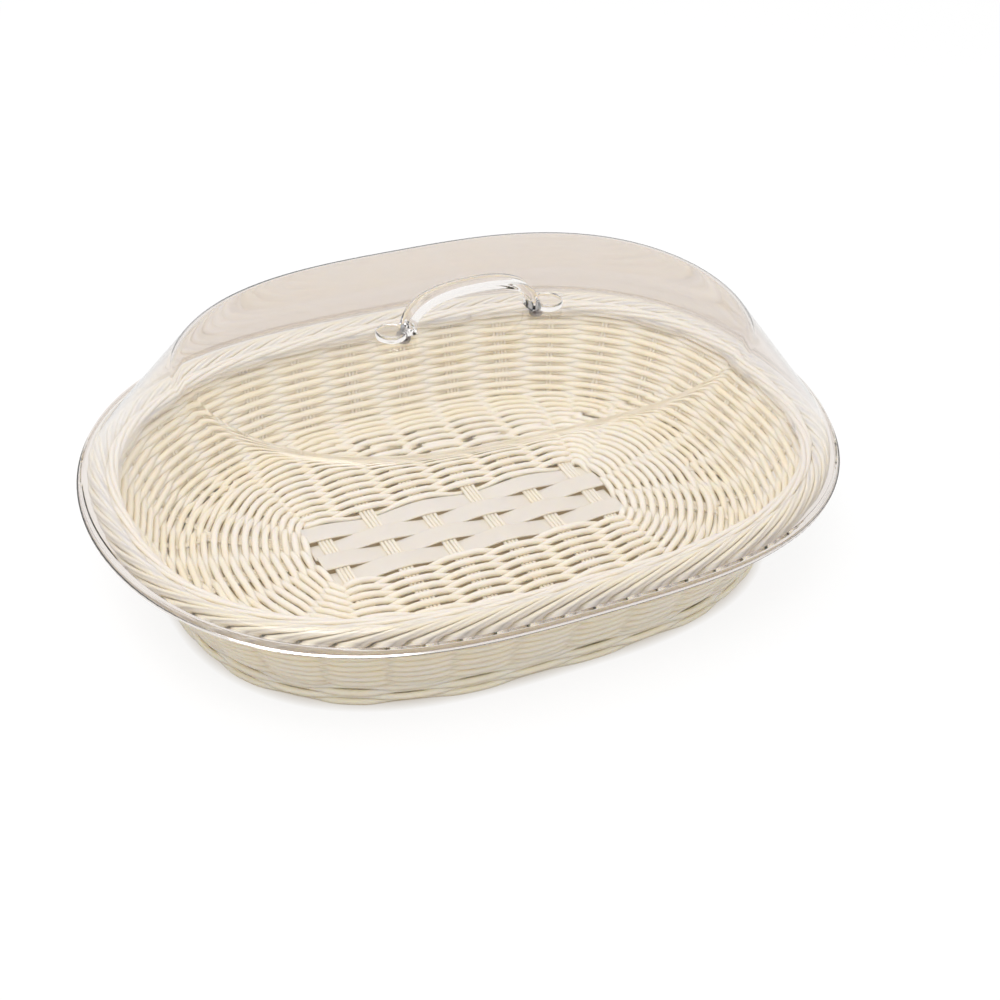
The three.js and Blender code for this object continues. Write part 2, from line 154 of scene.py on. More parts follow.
class Finish:
    """A material's nodes, or the world's."""

    def __init__(self, name, owner=None):
        self.owner = owner or bpy.data.materials.new(name)
        self.owner.use_nodes = True
        self.tree = self.owner.node_tree
        self.tree.nodes.clear()

    def node(self, kind, settings=None, sockets=None):
        made = self.tree.nodes.new("ShaderNode" + kind)
        for key, value in (settings or {}).items():
            setattr(made, key, value)
        for key, value in (sockets or {}).items():
            if isinstance(value, Value):
                self.tree.links.new(value.socket, made.inputs[key])
            elif isinstance(value, bpy.types.NodeSocket):
                self.tree.links.new(value, made.inputs[key])
            else:
                made.inputs[key].default_value = value
        return made

    def read(self, kind, output, settings=None, sockets=None):
        return Value(self, self.node(kind, settings, sockets).outputs[output])

    def blend(self, share, first, second):
        mix = self.node("Mix", {"data_type": "RGBA"}, {"Factor": share, "A": first, "B": second})
        return mix.outputs["Result"]

    def surface(self, shader):
        kind = "OutputWorld" if self.owner.id_type == "WORLD" else "OutputMaterial"
        self.node(kind, None, {"Surface": shader.outputs[0]})
        return self.owner


def rgba(red, green, blue):
    return (red, green, blue, 1)


print("shader helpers ready")

# %% [markdown]
# ## Studio
# The basket stands on a plain white floor in soft light. The floor shows white to the camera and through the
# clear cover, while a diffuse part of it keeps the basket's soft shadow and throws light back up. Under the
# basket's foot a painted shadow turns the floor's glow dark brown, and the holes in the weave show it.

# %% Floor, world and lamps
scene = bpy.context.scene
scene.view_settings.view_transform = "Standard"

FLOOR_GLOW = 0.84
FLOOR_SHADE = 0.15
WORLD_LIGHT = 0.94
FOOT_SHADE = (0.172, 0.126)  # half sizes of the floor under the basket, where a painted shadow darkens the floor's glow
SHADE_START, SHADE_FADE = 0.8, 0.25  # where that painted shadow starts to fade, and over how much of it
BASKET_ROUNDNESS = (2.9, 2.3)  # powers of the basket's squared oval, 2 and 2 for a plain oval


def seen_straight(finish):
    """1 for rays from the camera, off gloss and through glass, 0 for the rays that carry light."""
    path = finish.node("LightPath")
    straight = Value(finish, path.outputs["Is Camera Ray"])
    for kind in ("Is Glossy Ray", "Is Transmission Ray"):
        straight = straight.at_least(Value(finish, path.outputs[kind]))
    return straight


def floor_finish():
    finish = Finish("studio_floor")
    spot = finish.node("TexCoord")
    speckle = finish.read("TexNoise", "Fac", None,
                          {"Vector": spot.outputs["Object"], "Scale": 40.0, "Detail": 3.0})
    tone = finish.blend(speckle, rgba(0.38, 0.29, 0.17), rgba(0.41, 0.32, 0.20))
    bounce = finish.node("BsdfDiffuse", None, {"Color": tone})
    shade = finish.node("BsdfDiffuse", None, {"Color": rgba(FLOOR_SHADE, FLOOR_SHADE, FLOOR_SHADE)})
    sides = finish.node("SeparateXYZ", None, {"Vector": spot.outputs["Object"]})
    x, y = [Value(finish, sides.outputs[axis]) for axis in ("X", "Y")]
    apart = [(v * v) ** (power / 2) / half ** power
             for v, power, half in zip((x, y), BASKET_ROUNDNESS, FOOT_SHADE)]
    # painted shadow: the floor's glow is dark brown under the basket's foot and white away from it
    clear_of_painted_shadow = ((apart[0] + apart[1] - SHADE_START) / SHADE_FADE).at_most(1).at_least(0)
    glow_with_painted_shadow = finish.blend(clear_of_painted_shadow, rgba(0.29, 0.20, 0.08), rgba(1, 1, 1))
    glow = finish.node("Emission", None, {"Color": glow_with_painted_shadow, "Strength": FLOOR_GLOW})
    shown = finish.node("AddShader", None, {0: shade.outputs[0], 1: glow.outputs[0]})
    mixed = finish.node("MixShader", None, {0: seen_straight(finish), 1: bounce.outputs[0],
                                            2: shown.outputs[0]})
    return finish.surface(mixed)


def studio_floor(half_size):
    bm = bmesh.new()
    bmesh.ops.create_grid(bm, x_segments=8, y_segments=8, size=half_size)
    mesh = bpy.data.meshes.new("studio_floor")
    bm.to_mesh(mesh)
    bm.free()
    made = bpy.data.objects.new("studio_floor", mesh)
    scene.collection.objects.link(made)
    mesh.materials.append(floor_finish())
    made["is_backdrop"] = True
    return made


def studio_world():
    world = bpy.data.worlds.new("studio")
    finish = Finish("studio", world)
    seen = finish.node("Background", None, {"Color": rgba(1, 1, 1), "Strength": 1.0})
    light = finish.node("Background", None, {"Color": rgba(1, 1, 1), "Strength": WORLD_LIGHT})
    mixed = finish.node("MixShader", None, {0: seen_straight(finish), 1: light.outputs[0],
                                            2: seen.outputs[0]})
    scene.world = finish.surface(mixed)


def softbox(name, place, size, power, target=(0, 0, 0.03)):
    lamp = bpy.data.lights.new(name, "AREA")
    lamp.shape = "RECTANGLE"
    lamp.size, lamp.size_y = size
    lamp.energy = power
    made = bpy.data.objects.new(name, lamp)
    made.location = place
    made.rotation_euler = (Vector(target) - Vector(place)).to_track_quat("-Z", "Y").to_euler()
    scene.collection.objects.link(made)
    return made


FLOOR_HALF = 4
studio_floor(FLOOR_HALF)
studio_world()
softbox("key", (-0.48, -0.12, 1.35), (0.55, 0.45), 2)
fill_lamps = [softbox("top", (-0.4, -0.1, 1.35), (0.9, 0.8), 3),
              softbox("front", (-0.33, -0.52, 1.25), (0.5, 0.5), 3.7)]
for lamp in fill_lamps:
    lamp.visible_glossy = False  # only the key lamp shows as a glint in the cover
print("studio ready")

# %% [markdown]
# ## Finishes
# The cane is pale cream and slightly waxy, with a fine grain that runs along each strand. The tubes carry a
# UV map, lengthwise in U and round the strand in V, so the grain follows every bend. A tone tells strands
# apart, and also carries a painted shade: a weaver is paler where it passes in front of a stake and warmer
# behind it. The gaps between strands, found by ambient occlusion, get a warm painted shade as well.

# %% Cane and strips
GAP_PAINTED_SHADE = rgba(0.94, 0.85, 0.67)  # painted shade: the warm tan given to gaps found by ambient occlusion, for shade and light through the cane
GAP_SHADE_REACH = 0.006  # how far round a place the gaps are looked for, in metres
GRAIN_SCALE = (140, 9, 1)  # long thin flecks: close set round the strand, drawn out along it


def cane_finish(name, pale, warm, rough):
    finish = Finish(name)
    place = finish.node("UVMap")
    grain_place = finish.node("Mapping", None, {"Vector": place.outputs[0], "Scale": GRAIN_SCALE})
    grain = finish.read("TexNoise", "Fac", None,
                        {"Vector": grain_place.outputs[0], "Scale": 1.0, "Detail": 3.0})
    tone = finish.read("Attribute", "Fac", {"attribute_name": "tone"})
    spot = finish.node("TexCoord")
    mottle = finish.read("TexNoise", "Fac", None,
                         {"Vector": spot.outputs["Object"], "Scale": 45.0, "Detail": 2.0})
    share = (0.45 * tone + 0.35 * grain + 0.35 * mottle - 0.1).at_most(1).at_least(0)
    # painted shade: ambient occlusion finds the gaps, and the base colour there turns to the painted gap
    # shade
    openness = finish.read("AmbientOcclusion", "AO", {"samples": 6}, {"Distance": GAP_SHADE_REACH})
    colour = finish.blend((1.15 - 1.25 * openness).at_most(0.85).at_least(0),
                          finish.blend(share, pale, warm), GAP_PAINTED_SHADE)
    bump = finish.node("Bump", None, {"Height": grain, "Strength": 0.35, "Distance": 0.0003})
    body = finish.node("BsdfPrincipled", None, {
        "Base Color": colour, "Roughness": rough + 0.18 * grain, "Normal": bump.outputs[0],
        "IOR": 1.5, "Specular IOR Level": 0.4, "Subsurface Weight": 0.5,
        "Subsurface Radius": (1.0, 0.8, 0.5), "Subsurface Scale": 0.0035})
    return finish.surface(body)


CANE = cane_finish("pale_cane", rgba(0.94, 0.92, 0.88), rgba(0.95, 0.87, 0.71), 0.38)
CANE_STAKE = cane_finish("stake_cane", rgba(0.94, 0.91, 0.85), rgba(0.93, 0.86, 0.74), 0.40)
STRIP = cane_finish("strip_cane", rgba(0.90, 0.88, 0.855), rgba(0.79, 0.73, 0.64), 0.36)
# painted shade: the rope's cane is painted darker than the wall's, to hold back the stronger light the
# exposed rim gets
SHADED_ROPE_CANE = cane_finish("shaded_rope_cane", rgba(0.88, 0.855, 0.82), rgba(0.87, 0.82, 0.75), 0.36)
print("finishes:", CANE.name, CANE_STAKE.name, STRIP.name, SHADED_ROPE_CANE.name)

# %% [markdown]
# The cover and its handle are one clear plastic, faintly warm where it is seen on edge or through several
# layers. Glass in a renderer casts a solid shadow, so the rays that carry light to the basket pass it as if
# it were not there. The basket is then as bright with the cover on as with it lifted off.

# %% Clear plastic and steel


def clear_finish(name, tint, rough):
    finish = Finish(name)
    spot = finish.node("TexCoord")
    haze = finish.read("TexNoise", "Fac", None,
                       {"Vector": spot.outputs["Object"], "Scale": 14.0, "Detail": 4.0})
    body = finish.node("BsdfPrincipled", None, {
        "Base Color": tint, "Roughness": rough + 0.02 * haze, "IOR": 1.46, "Transmission Weight": 1.0})
    path = finish.node("LightPath")
    lets_light = finish.node("BsdfTransparent", None, {"Color": rgba(1, 1, 1)})
    for ray in ("Is Diffuse Ray", "Is Shadow Ray"):
        body = finish.node("MixShader", None, {0: path.outputs[ray], 1: body.outputs[0],
                                               2: lets_light.outputs[0]})
    return finish.surface(body)


def steel_finish():
    finish = Finish("turned_steel")
    spot = finish.node("TexCoord")
    turned = finish.node("Mapping", None, {"Vector": spot.outputs["Object"], "Scale": (1, 1, 12)})
    mark = finish.read("TexNoise", "Fac", None,
                       {"Vector": turned.outputs[0], "Scale": 900.0, "Detail": 2.0})
    bump = finish.node("Bump", None, {"Height": mark, "Strength": 0.3, "Distance": 0.0001})
    body = finish.node("BsdfPrincipled", None, {
        "Base Color": finish.blend(mark, rgba(0.36, 0.36, 0.37), rgba(0.52, 0.52, 0.53)),
        "Metallic": 1.0, "Roughness": 0.22 + 0.2 * mark, "Normal": bump.outputs[0]})
    return finish.surface(body)


CLEAR = clear_finish("clear_cover_plastic", rgba(0.825, 0.772, 0.729), 0.01)
CLEAR_HANDLE = clear_finish("clear_handle_plastic", rgba(0.95, 0.925, 0.90), 0.03)
STEEL = steel_finish()
print("finishes:", CLEAR.name, CLEAR_HANDLE.name, STEEL.name)

# %% [markdown]
# ## The ovals
# Basket and cover are squared ovals. A point on one is found by its share of the way round, measured along
# the edge, so that strands and facets keep an even spacing through the tight turns as well.

# %% Ovals
OVAL_PLACES, FINER = 2880, 8  # places kept, and how much finer the steps are that find them
TANGENT_STEP = 0.002  # share of the way round to the neighbours that give a place its direction
TINY = 1e-9


def signed_power(value, power):
    return abs(value) ** power * (1 if value > 0 else -1)


class Oval:
    """A squared oval, walked by share of its length: 0 at +X, 0.25 at +Y."""

    def __init__(self, roundness, half_length, half_width):
        self.roundness = roundness
        self.count = count = OVAL_PLACES
        fine = FINER * count
        raw = [self.corner(2 * pi * i / fine) for i in range(fine + 1)]
        lengths = [0.0]
        for (x0, y0), (x1, y1) in zip(raw, raw[1:]):
            lengths.append(lengths[-1] + (((x1 - x0) * half_length) ** 2 +
                                          ((y1 - y0) * half_width) ** 2) ** 0.5)
        self.perimeter = lengths[-1]
        self.places = []
        self.turns = []
        i = 0
        for k in range(count):
            wanted = self.perimeter * k / count
            while lengths[i + 1] < wanted:
                i += 1
            step = (wanted - lengths[i]) / max(lengths[i + 1] - lengths[i], TINY)
            (x0, y0), (x1, y1) = raw[i], raw[i + 1]
            self.places.append((x0 + (x1 - x0) * step, y0 + (y1 - y0) * step))
            self.turns.append((i + step) / fine)

    def corner(self, angle):
        return tuple(signed_power(v, 2 / roundness)
                     for v, roundness in zip((cos(angle), sin(angle)), self.roundness))

    def at(self, share):
        spot = (share % 1) * self.count
        i = int(spot)
        (x0, y0), (x1, y1) = self.places[i % self.count], self.places[(i + 1) % self.count]
        return x0 + (x1 - x0) * (spot - i), y0 + (y1 - y0) * (spot - i)

    def share_of(self, x, y):
        """Share of the way round at which the oval passes the direction of a place given in half sizes."""
        c, s = (signed_power(v, roundness / 2) for v, roundness in zip((x, y), self.roundness))
        turn = (atan2(s, c) / (2 * pi)) % 1
        low, high = 0, self.count
        while high - low > 1:
            middle = (low + high) // 2
            low, high = (middle, high) if self.turns[middle] <= turn else (low, middle)
        start = self.turns[low]
        end = self.turns[low + 1] if low + 1 < self.count else 1
        return (low + (turn - start) / max(end - start, TINY)) / self.count

    def share_at_x(self, x):
        """The same for the far side's place at x, given in half lengths."""
        angle = acos(signed_power(x, self.roundness[0] / 2))
        return self.share_of(*self.corner(angle))

    def tangent(self, share, half_length, half_width):
        """The direction along an oval of these half sizes, anticlockwise."""
        (x0, y0), (x1, y1) = self.at(share - TANGENT_STEP), self.at(share + TANGENT_STEP)
        return Vector(((x1 - x0) * half_length, (y1 - y0) * half_width, 0)).normalized()


BASKET_HALF = (178, 128)  # half sizes in mm at which the basket's spacing is even
oval = Oval(BASKET_ROUNDNESS, *BASKET_HALF)
print("mean oval of the basket is", round(oval.perimeter), "mm round")

# %% [markdown]
# ## The wall's line
# Floor and wall are one weave: the stakes run out over the floor, turn up in a short bend, and lean out to
# the rope. Every place on it has three numbers: share of the way round, height along the stake, and how far
# the strand stands in front of the stakes. The sizes come from the boxes of the CAD pieces.

# %% Wall surface
FLOOR_Z = 10.0
BEND_REACH = 8.0
CORNER_INSET = 5.5
OUTER_ZONE = 14.0
ROPE_HALF = (7.5, 7.0)
WALL_INSIDE_ROPE = 1.1
WALL_TOP_Z = 55.4
RISE_STEP = 0.02

foot_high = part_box("foot_border")[1] / MM
rope_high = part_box("rim_border")[1] / MM
ROPE = (rope_high.x - ROPE_HALF[0], rope_high.y - ROPE_HALF[0], rope_high.z - ROPE_HALF[1])


def between(start, end, share):
    return tuple(p + (q - p) * share for p, q in zip(start, end))


corner_line = (foot_high.x - CORNER_INSET, foot_high.y - CORNER_INSET, FLOOR_Z)
at_rope = (ROPE[0] - WALL_INSIDE_ROPE, ROPE[1] - WALL_INSIDE_ROPE, ROPE[2])
wall_top = between(corner_line, at_rope, (WALL_TOP_Z - FLOOR_Z) / (ROPE[2] - FLOOR_Z))
bend_start = (corner_line[0] - BEND_REACH, corner_line[1] - BEND_REACH, FLOOR_Z)
bend_end = between(corner_line, wall_top, BEND_REACH / (WALL_TOP_Z - FLOOR_Z))


def wall_line(t):
    """Half sizes and height of the weave: -1 to 0 on the floor's edge, 0 to 1 the bend, 1 to 2 the wall."""
    if t < 0:
        return bend_start[0] + OUTER_ZONE * t, bend_start[1] + OUTER_ZONE * t, FLOOR_Z
    if t < 1:
        return between(between(bend_start, corner_line, t), between(corner_line, bend_end, t), t)
    return between(bend_end, wall_top, t - 1)


def wall_place(share, t, out=0.0, along=0.0):
    """A place on the weave in mm, out in front of it, and along it anticlockwise."""
    a, b, z = wall_line(t)
    x, y = oval.at(share)
    tangent = oval.tangent(share, a, b)
    a0, b0, z0 = wall_line(t - RISE_STEP)
    a1, b1, z1 = wall_line(t + RISE_STEP)
    rise = Vector(((a1 - a0) * x, (b1 - b0) * y, z1 - z0))
    normal = tangent.cross(rise).normalized()
    return Vector((a * x, b * y, z)) + normal * out + tangent * along


print("wall top", [round(v, 1) for v in wall_top], "bend start", [round(v, 1) for v in bend_start])

# %% [markdown]
# ## Where the stakes run
# Six cross stakes climb both long walls. At each end, five stakes start on a bow past the strips and part in
# two before the edge, so ten legs climb the end. All 32 legs are listed in order round the basket.

# %% Stake lines
STAKE_COUNT = 6
OUTER_X = 79.25
cross_x = [OUTER_X * (2 * i / (STAKE_COUNT - 1) - 1) for i in range(STAKE_COUNT)]
RIM_SPREAD = 1.05
FAN_START = 99.0
FAN_SETBACK = 9.0
FAN_HALF_WIDTH = 31.0
END_STAKES = 5
HALF_STAKE = 2.25
SPLIT_LINE = wall_line(-1)


def cross_legs():
    legs = []
    for i, x in enumerate(cross_x):
        split = oval.share_at_x(x / SPLIT_LINE[0])
        foot = oval.share_at_x(x / bend_start[0])
        rim = oval.share_at_x(x * RIM_SPREAD / wall_top[0])
        legs.append({"stake": ("cross", i), "side": 1, "split": split, "foot": foot, "rim": rim})
        legs.append({"stake": ("cross", i), "side": -1, "split": 1 - split, "foot": 1 - foot,
                     "rim": 1 - rim})
    return legs


def end_legs():
    legs = []
    foot_out = oval.share_at_x(OUTER_X / bend_start[0])
    rim_out = oval.share_at_x(OUTER_X * RIM_SPREAD / wall_top[0])
    for end, turn in (("right", 1), ("left", -1)):
        for i in range(END_STAKES):
            share = 2 * i / (END_STAKES - 1) - 1
            start = Vector((turn * (FAN_START - FAN_SETBACK * share ** 2), share * FAN_HALF_WIDTH,
                            FLOOR_Z))
            places = [(2 * i + 1 + j) / (2 * END_STAKES + 1) * 2 - 1 for j in (0, 1)]
            feet = [foot_out * p for p in places]
            rims = [rim_out * p for p in places]
            if turn < 0:
                feet = [0.5 - f for f in feet]
                rims = [0.5 - r for r in rims]
            edge = wall_place(sum(feet) / 2, 0)
            outwards = (edge - start).normalized()
            split = edge - outwards * OUTER_ZONE
            across = Vector((-outwards.y, outwards.x, 0)) * turn
            for j in (0, 1):
                point = split + across * (HALF_STAKE * (2 * j - 1))
                share_split = oval.share_of(point.x / SPLIT_LINE[0], point.y / SPLIT_LINE[1])
                if share_split - feet[j] > 0.5:
                    share_split -= 1
                legs.append({"stake": (end, i), "side": 2 * j - 1, "split": share_split, "foot": feet[j],
                             "rim": rims[j], "start": start, "across": across})
    return legs


def leg_share(leg, t):
    """Where a leg crosses the oval at height t."""
    if t < 0:
        return leg["split"] + (leg["foot"] - leg["split"]) * (t + 1)
    return leg["foot"] + (leg["rim"] - leg["foot"]) * t / 2


legs = cross_legs() + end_legs()
for leg in legs:
    lift = -1 if leg["foot"] >= 1 else 0
    for key in ("split", "foot", "rim"):
        leg[key] += lift
legs.sort(key=lambda leg: leg["foot"])
print(len(legs), "legs, first at", [round(leg["foot"], 3) for leg in legs[:6]])

# %% [markdown]
# ## Making a strand
# A strand is a curve with a round section, turned into a mesh. Each run is turned on its own, so that it can
# keep its tone, its grain can be measured in metres along it, and its ends are closed.

# %% Strand maker
SIDES = 8
maker = bpy.data.objects.new("strand_maker", bpy.data.curves.new("strand_maker", "CURVE"))
maker.data.dimensions = "3D"
maker.data.bevel_resolution = (SIDES - 4) // 2
maker.data.use_fill_caps = True
scene.collection.objects.link(maker)


def add_strand(bm, run, radius, closed, tone, swell=None, painted_shade=None):
    """Adds one strand through places in mm. Two lists may give its thickness and its painted shade at each
    place.
    """
    curve = maker.data
    curve.splines.clear()
    curve.bevel_depth = radius * MM
    spline = curve.splines.new("POLY")
    spline.points.add(len(run) - 1)
    spline.use_cyclic_u = closed
    for point, place, share in zip(spline.points, run, swell or [1] * len(run)):
        point.co = (*(place * MM), 1)
        point.radius = share
    length = sum((q - p).length for p, q in zip(run, run[1:])) * MM
    graph = bpy.context.evaluated_depsgraph_get()
    mesh = bpy.data.meshes.new_from_object(maker.evaluated_get(graph), preserve_all_data_layers=True,
                                           depsgraph=graph)
    before = len(bm.verts)
    faces_before = len(bm.faces)
    bm.from_mesh(mesh)
    bpy.data.meshes.remove(mesh)
    toned = bm.verts.layers.float.get("tone") or bm.verts.layers.float.new("tone")
    mapped = bm.loops.layers.uv.verify()
    bm.verts.ensure_lookup_table()
    bm.faces.ensure_lookup_table()
    for i in range(before, len(bm.verts)):
        # painted shade: the tone is raised where the strand lies behind the stakes and lowered in front
        bm.verts[i][toned] = tone + (painted_shade[(i - before) // SIDES] if painted_shade else 0)
    for i in range(faces_before, len(bm.faces)):
        bm.faces[i].smooth = True
        for loop in bm.faces[i].loops:
            loop[mapped].uv.x *= length
            loop[mapped].uv.y += 5 * tone


def finished(bm, name, material, body, nodes):
    """Turns a bmesh into a piece that rides on a body and stands for its CAD nodes."""
    bmesh.ops.remove_doubles(bm, verts=bm.verts, dist=1e-7)
    mesh = bpy.data.meshes.new(name)
    bm.to_mesh(mesh)
    bm.free()
    made = bpy.data.objects.new(name, mesh)
    scene.collection.objects.link(made)
    mesh.materials.append(material)
    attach(made, body)
    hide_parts(*nodes)
    faces = sum(len(p.vertices) - 2 for p in mesh.polygons)
    print(name, faces, "triangles")
    return made


SEED = 11
dice = random.Random(SEED)
noise.seed_set(SEED)  # without a seed the clock shifts the noise, and each run gets another basket
WOBBLE_SCALE = 0.045  # waves per mm
STAKE_WOBBLE, STRIP_WOBBLE, WEAVER_WOBBLE, ROPE_WOBBLE = 0.25, 0.3, 0.4, 0.3
SEEDS = {"edge": 30, "strip": 40, "wall": 50, "rope": 80, "roll": 84, "flare": 86, "foot": 90,
         "foot rows": 97}


def wobble(place, seed, size):
    """A small smooth shift, so that no strand is perfectly true. Each seed gives its own."""
    shift = noise.noise_vector(place * WOBBLE_SCALE + Vector((seed, 2.3 * seed, 0.7 * seed)))
    return place + shift * size


# %% [markdown]
# ## The stakes
# A stake is four thin strands side by side. A cross stake goes down one wall, over the floor and up the
# other. An end stake leaves its start as four and parts in two pairs that climb as neighbouring legs.

# %% Stakes
STAKE_STRAND = 1.06
STAKE_PITCH = 2.2
STAKE_TOP = 2.08


def climb(leg, offset):
    """A strand of a leg from the floor's edge to the rope, offset along the weave."""
    heights = [-1 + k / 4 for k in range(4)]
    heights += [k / 6 for k in range(6)]
    heights += [1 + (STAKE_TOP - 1) * k / 9 for k in range(10)]
    return [wall_place(leg_share(leg, t), t, 0, offset) for t in heights]


def stake_places(count):
    return [STAKE_PITCH * (k - (count - 1) / 2) for k in range(count)]


for i in range(STAKE_COUNT):
    bm = bmesh.new()
    far, near = [next(leg for leg in legs if leg["stake"] == ("cross", i) and leg["side"] == side)
                 for side in (1, -1)]
    for offset in stake_places(4):
        up = climb(far, -offset)
        down = climb(near, offset)[::-1]
        middle = [down[-1].lerp(up[0], k / 12) for k in range(1, 12)]
        run = [wobble(p, 3 * i + offset, STAKE_WOBBLE) for p in down + middle + up]
        add_strand(bm, run, STAKE_STRAND, False, dice.random())
    finished(bm, f"cross_stake_{i + 1}_cane", CANE_STAKE, "basket", [f"cross_stake_{i + 1}"])

for end, turn in (("left", -1), ("right", 1)):
    for i in range(END_STAKES):
        bm = bmesh.new()
        for leg in (leg for leg in legs if leg["stake"] == (end, i)):
            for offset in stake_places(2):
                up = climb(leg, offset)
                shift = leg["across"] * (leg["side"] * HALF_STAKE + turn * offset)
                start = leg["start"] + shift
                inner = [start.lerp(up[0], k / 6) for k in range(6)]
                run = [wobble(p, 5 * i + offset, STAKE_WOBBLE) for p in inner + up]
                add_strand(bm, run, STAKE_STRAND, False, dice.random())
        finished(bm, f"end_stake_{end}_{i + 1}_cane", CANE_STAKE, "basket",
                 [f"end_stake_{end}_{i + 1}"])

# %% [markdown]
# ## The strips
# Four flat strips run the length of the floor's middle and lock the cross stakes, over one and under the
# next. Each is a thin sheet, slightly crowned across, that waves up and down along its length. A grid with a
# thickness is the plainest way, and a bevel takes the sharpness off its edges.

# %% Flat strips
STRIP_LIFT = 1.6
STRIP_SPREAD = 1.5  # the cane strips are this much wider than their CAD nodes
STRIP_CROWN = 0.35
STRIP_THICKNESS = 1.2
STRIP_EDGE = 0.45


def strip_level(x, row):
    """Height of a strip at x, 1 over a stake and -1 under it, level past the outer stakes."""
    spot = (x - cross_x[0]) / (cross_x[1] - cross_x[0])
    spot = min(max(spot, 0), STAKE_COUNT - 1)
    return cos(pi * spot) * (1 if row % 2 == 0 else -1)


for row in range(4):
    low, high = (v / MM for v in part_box(f"base_strip_{row + 1}"))
    length, width = high.x - low.x, high.y - low.y + STRIP_SPREAD
    bm = bmesh.new()
    bmesh.ops.create_grid(bm, x_segments=128, y_segments=6, size=0.5)
    mapped = bm.loops.layers.uv.verify()
    toned = bm.verts.layers.float.new("tone")
    for face in bm.faces:
        face.smooth = True
        for loop in face.loops:
            loop[mapped].uv = ((loop.vert.co.x + 0.5) * length * MM / 3, loop.vert.co.y * 4 + row)
    for vert in bm.verts:
        across = vert.co.y
        x = (vert.co.x + 0.5) * length + low.x
        crown = STRIP_CROWN * (1 - (2 * across) ** 2)
        z = FLOOR_Z + STRIP_LIFT * strip_level(x, row) + crown
        y = (low.y + high.y) / 2 + across * width
        vert.co = wobble(Vector((x, y, z)), SEEDS["strip"] + row, STRIP_WOBBLE) * MM
        vert[toned] = 0.3 + 0.1 * row
    strip = finished(bm, f"floor_strip_{row + 1}", STRIP, "basket", [f"base_strip_{row + 1}"])
    thick = strip.modifiers.new("thickness", "SOLIDIFY")
    thick.thickness = STRIP_THICKNESS * MM
    thick.offset = 0
    soften = strip.modifiers.new("edges", "BEVEL")
    soften.width = STRIP_EDGE * MM
    soften.segments = 3
    soften.limit_method = "ANGLE"

# %% [markdown]
# ## The floor's weave
# Round the window of strips, a weaver goes over one stake and under the next, and the weaver of the next
# ring does the reverse. A ring passes each stake at the same share of its length, and runs in a smooth curve
# between, so the rings open out evenly from the oblong window to the oval edge.

# %% Floor weavers
FLOOR_WEAVER = 1.76
WALL_WEAVER = 1.85
WEAVE_LIFT = 1.8
FLOOR_LIFT = 1.2
WIDE_SPAN = 30.0  # stakes this far apart, in mm, or more let a weaver rise fully
ON_TOP = 0.11  # share of its thickness that a weaver gains over a stake and loses under one
FLOOR_SWELL = {"cross": 0.98, "end": 1.05}  # a weaver is thicker round the ends, where the rows lie close
SPAN_STEPS = 8
FLOOR_RINGS = 20
RING_START = 0.45  # of a ring's width, from the window to the middle of the first ring
EDGE_ROWS = 5
FLOOR_FIRST_Y = 27.8
FLOOR_FIRST_X = 90.8
FLOOR_FIRST_BOW = 4.5
BEHIND_STAKE_SHADE = 0.55  # painted shade: how much paler a weaver is painted in front of the stakes than behind them


def floor_stations():
    """Start, end and strand thickness of every floor stake's woven stretch, in order round the floor."""
    stations = []
    for leg in legs:
        end = wall_place(leg["split"], -1)
        if leg["stake"][0] == "cross":
            start = Vector((end.x, leg["side"] * FLOOR_FIRST_Y, FLOOR_Z))
            stations.append((start, end, FLOOR_SWELL["cross"]))
        elif leg["side"] == 1:
            partner = next(o for o in legs if o["stake"] == leg["stake"] and o["side"] == -1)
            end = (end + wall_place(partner["split"], -1)) / 2
            share = 2 * leg["stake"][1] / (END_STAKES - 1) - 1
            turn = 1 if leg["stake"][0] == "right" else -1
            start = Vector((turn * (FLOOR_FIRST_X - FLOOR_FIRST_BOW * share ** 2),
                            share * (FLOOR_FIRST_Y - 1), FLOOR_Z))
            stations.append((start, end, FLOOR_SWELL["end"]))
    return stations


def smooth_between(before, here, after, beyond, share):
    """A curve through four places (Catmull-Rom), at a share of the way from the second to the third."""
    s = share
    return 0.5 * ((2 * here) + (after - before) * s + (2 * before - 5 * here + 4 * after - beyond) * s * s
                  + (3 * here - before - 3 * after + beyond) * s ** 3)


def over_under(share, side, span=WIDE_SPAN):
    """Height of a weaver between two stakes: level over one, then down under the next."""
    held = min(1, 0.45 + span / 45)  # stakes that stand close leave a weaver less room to rise
    return side * WEAVE_LIFT * held * sin(pi / 2 * cos(pi * share))


stations = floor_stations()
print(len(stations), "floor stations")
bm = bmesh.new()
for ring in range(FLOOR_RINGS):
    share = (ring + RING_START) / FLOOR_RINGS
    marks = [start.lerp(end, share) for start, end, _ in stations]
    widths = [thickness for *_, thickness in stations]
    count = len(marks)
    run, swell, painted_shade = [], [], []
    for k in range(count):
        side = (-1) ** (k + ring)
        four = [marks[(k + j) % count] for j in (-1, 0, 1, 2)]
        for step in range(SPAN_STEPS):
            part = step / SPAN_STEPS
            place = smooth_between(*four, part)
            place.z += over_under(part, side, (four[2] - four[1]).length) * FLOOR_LIFT
            run.append(wobble(place, ring, WEAVER_WOBBLE))
            thickness = widths[k] + (widths[(k + 1) % count] - widths[k]) * part
            swell.append(thickness * (1 + ON_TOP * side * cos(pi * part)))
            # painted shade: warmer where the weaver passes under a stake, paler where it passes over
            painted_shade.append(-BEHIND_STAKE_SHADE * side * cos(pi * part))
    add_strand(bm, run, FLOOR_WEAVER, True, dice.random(), swell, painted_shade)

# %% Rows at the floor's edge


